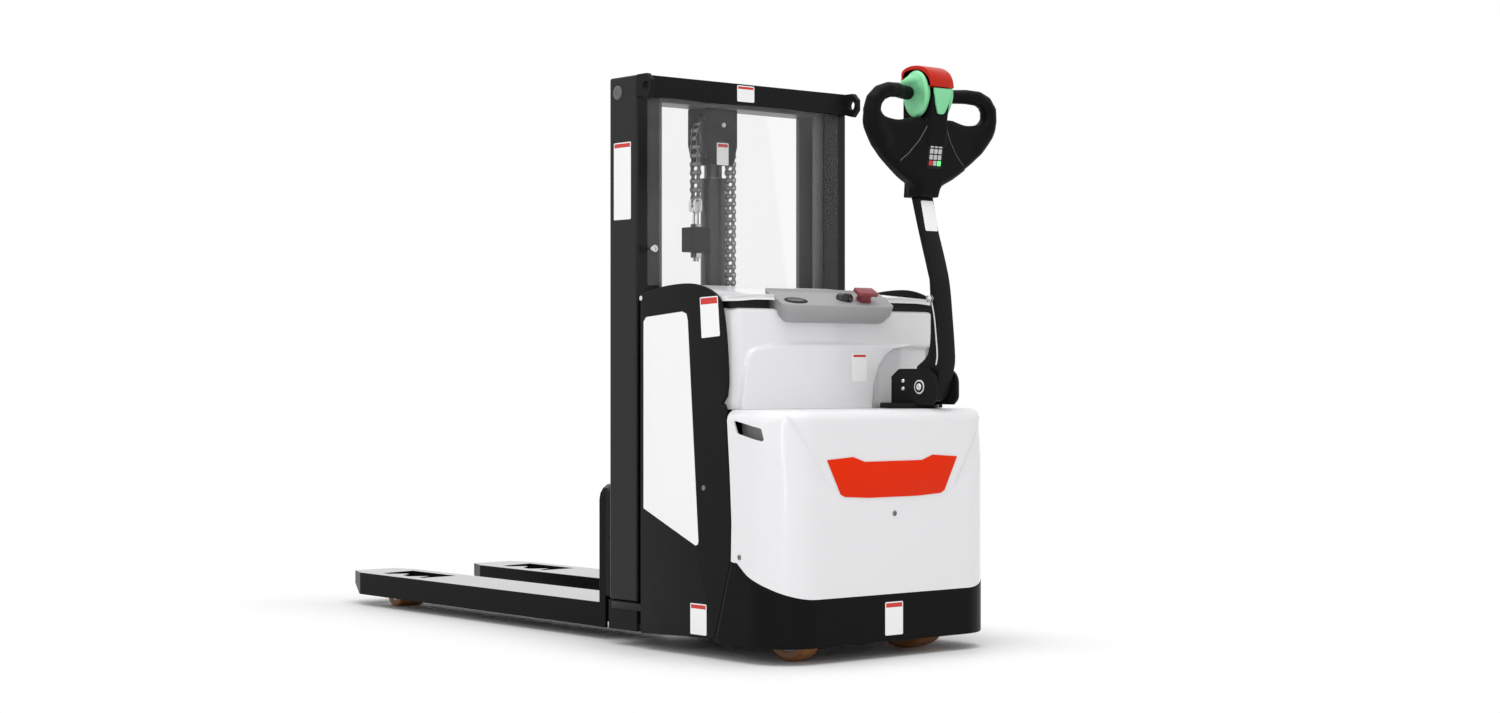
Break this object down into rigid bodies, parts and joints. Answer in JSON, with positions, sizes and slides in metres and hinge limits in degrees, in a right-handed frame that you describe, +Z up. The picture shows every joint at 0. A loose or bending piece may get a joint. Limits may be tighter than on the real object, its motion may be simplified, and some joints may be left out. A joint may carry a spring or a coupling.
{
  "type": "walkie stacker",
  "caption": "Pedestrian stacker with a two-stage mast, forks over support legs, moulded rear body, castor, steered drive wheel and a tiller with a looped control head.",
  "frame": {"origin": "middle of the footprint of the whole object's box, on the floor", "axes": "+X to the truck's right, +Y towards the fork tips, +Z up"},
  "size_m": [0.708, 1.891, 1.334],
  "materials": {
    "black_paint": "satin black powder coat",
    "white_cover": "gloss white moulded cover",
    "white_inset": "plain white inset field",
    "grey_tray": "light grey moulded tray",
    "orange_badge": "plain orange-red plate",
    "black_case": "black moulded case",
    "controller_case": "finned aluminium case",
    "zinc_steel": "bright zinc plate",
    "dark_steel": "oiled dark steel",
    "chromed_rod": "hard chrome",
    "amber_wheel": "amber polyurethane",
    "clear_screen": "clear polycarbonate",
    "charcoal_plastic": "fine grained charcoal moulding",
    "red_button": "red moulded button",
    "dark_red_knob": "dark red knob",
    "green_throttle": "green moulded wings"
  },
  "bodies": {
    "truck": {"chassis_frame": "black_paint", "left_support_leg": "black_paint", "right_support_leg": "black_paint", "left_side_panel": "black_paint", "right_side_panel": "black_paint", "rear_skirt": "black_paint", "outer_mast_left": "black_paint", "outer_mast_right": "black_paint", "top_crossbar": "black_paint", "lift_cylinder": "black_paint", "cylinder_gland": "black_paint", "chain_anchor_block": "black_paint", "rear_cover": "white_cover", "console_cover": "white_cover", "console_lid": "white_cover", "left_panel_inset": "white_inset", "right_panel_inset": "white_inset", "storage_tray": "grey_tray", "badge_plate": "orange_badge", "battery": "black_case", "hydraulic_power_unit": "black_case", "motor_controller": "controller_case", "left_load_axle": "zinc_steel", "right_load_axle": "zinc_steel", "chain_anchor_bolt": "zinc_steel", "fixed_chain_strand": "dark_steel", "mast_screen": "clear_screen"},
    "inner_mast": {"inner_mast_left": "black_paint", "inner_mast_right": "black_paint", "inner_top_bar": "black_paint", "inner_bottom_tie": "black_paint", "yoke_plate_front": "black_paint", "yoke_plate_rear": "black_paint", "piston_rod": "chromed_rod", "pulley_pin": "zinc_steel", "pulley_chain_wrap": "dark_steel"},
    "pulley": {"chain_pulley": "dark_steel"},
    "carriage": {"fork_carriage": "black_paint", "left_fork": "black_paint", "right_fork": "black_paint", "lifting_chain_strand": "dark_steel"},
    "guide_lower_left": {"guide_roller_lower_left": "dark_steel"},
    "guide_lower_right": {"guide_roller_lower_right": "dark_steel"},
    "guide_upper_left": {"guide_roller_upper_left": "dark_steel"},
    "guide_upper_right": {"guide_roller_upper_right": "dark_steel"},
    "load_roller_left": {"left_load_roller": "amber_wheel"},
    "load_roller_right": {"right_load_roller": "amber_wheel"},
    "steering": {"tiller_base": "black_paint", "tiller_pivot_pin": "zinc_steel", "drive_unit": "black_case"},
    "drive_wheel": {"drive_wheel": "amber_wheel"},
    "tiller": {"tiller_arm": "black_paint", "head_shell": "charcoal_plastic", "keypad": "black_case"},
    "belly_button": {"belly_button": "red_button"},
    "throttle": {"throttle_wings": "green_throttle"},
    "castor": {"castor_fork": "zinc_steel"},
    "castor_wheel": {"castor_wheel": "amber_wheel"},
    "estop": {"estop_knob": "dark_red_knob"},
    "key": {"key_switch": "black_case"}
  },
  "joints": [
    {"name": "mast_lift", "type": "slide", "parent": "truck", "child": "inner_mast", "axis": [0, 0, 1], "range_m": [0, 0.8], "deforming": ["fixed_chain_strand"]},
    {"name": "carriage_lift", "type": "slide", "parent": "inner_mast", "child": "carriage", "axis": [0, 0, 1], "range_m": [0, 0.8], "deforming": ["lifting_chain_strand"]},
    {"name": "pulley_spin", "type": "hinge", "parent": "inner_mast", "child": "pulley", "pos_m": [-0.069, -0.3655, 1.19], "axis": [0, 1, 0], "range_deg": [-860, 0]},
    {"name": "guide_lower_left_spin", "type": "hinge", "parent": "carriage", "child": "guide_lower_left", "pos_m": [-0.299, -0.373, 0.165], "axis": [1, 0, 0], "continuous": true},
    {"name": "guide_upper_left_spin", "type": "hinge", "parent": "carriage", "child": "guide_upper_left", "pos_m": [-0.299, -0.373, 0.33], "axis": [1, 0, 0], "continuous": true},
    {"name": "load_roller_left_spin", "type": "hinge", "parent": "truck", "child": "load_roller_left", "pos_m": [-0.214, 0.7745, 0.0385], "axis": [1, 0, 0], "continuous": true},
    {"name": "guide_lower_right_spin", "type": "hinge", "parent": "carriage", "child": "guide_lower_right", "pos_m": [0.261, -0.373, 0.165], "axis": [1, 0, 0], "continuous": true},
    {"name": "guide_upper_right_spin", "type": "hinge", "parent": "carriage", "child": "guide_upper_right", "pos_m": [0.261, -0.373, 0.33], "axis": [1, 0, 0], "continuous": true},
    {"name": "load_roller_right_spin", "type": "hinge", "parent": "truck", "child": "load_roller_right", "pos_m": [0.176, 0.7745, 0.0385], "axis": [1, 0, 0], "continuous": true},
    {"name": "steer", "type": "hinge", "parent": "truck", "child": "steering", "pos_m": [0.149, -0.8155, 0.551], "axis": [0, 0, 1], "range_deg": [-90, 90]},
    {"name": "drive_wheel_spin", "type": "hinge", "parent": "steering", "child": "drive_wheel", "pos_m": [0.149, -0.8155, 0.105], "axis": [1, 0, 0], "continuous": true},
    {"name": "tiller_tilt", "type": "hinge", "parent": "steering", "child": "tiller", "pos_m": [0.149, -0.8935, 0.6], "axis": [1, 0, 0], "range_deg": [0, 78], "stiffness_Nm_per_rad": 22, "springref_deg": -51.57},
    {"name": "belly_button_press", "type": "slide", "parent": "tiller", "child": "belly_button", "axis": [0, 0, -1], "range_m": [0, 0.008], "stiffness_N_per_m": 900, "springref_m": -0.005},
    {"name": "throttle_twist", "type": "hinge", "parent": "tiller", "child": "throttle", "pos_m": [0.149, -0.8735, 1.267], "axis": [1, 0, 0], "range_deg": [-30, 30], "stiffness_Nm_per_rad": 0.8},
    {"name": "castor_swivel", "type": "hinge", "parent": "truck", "child": "castor", "pos_m": [-0.234, -0.8155, 0.25], "axis": [0, 0, 1], "continuous": true},
    {"name": "castor_wheel_spin", "type": "hinge", "parent": "castor", "child": "castor_wheel", "pos_m": [-0.234, -0.8505, 0.075], "axis": [1, 0, 0], "continuous": true},
    {"name": "estop_press", "type": "slide", "parent": "truck", "child": "estop", "axis": [0, 0, -1], "range_m": [0, 0.006]},
    {"name": "key_turn", "type": "hinge", "parent": "truck", "child": "key", "pos_m": [0.011, -0.7495, 0.7947], "axis": [0, 0, 1], "range_deg": [0, 90]}
  ],
  "couplings": [
    {"joint": "carriage_lift", "follows": "mast_lift", "ratio": 1},
    {"joint": "pulley_spin", "follows": "mast_lift", "rad_per_m": -18.692}
  ]
}
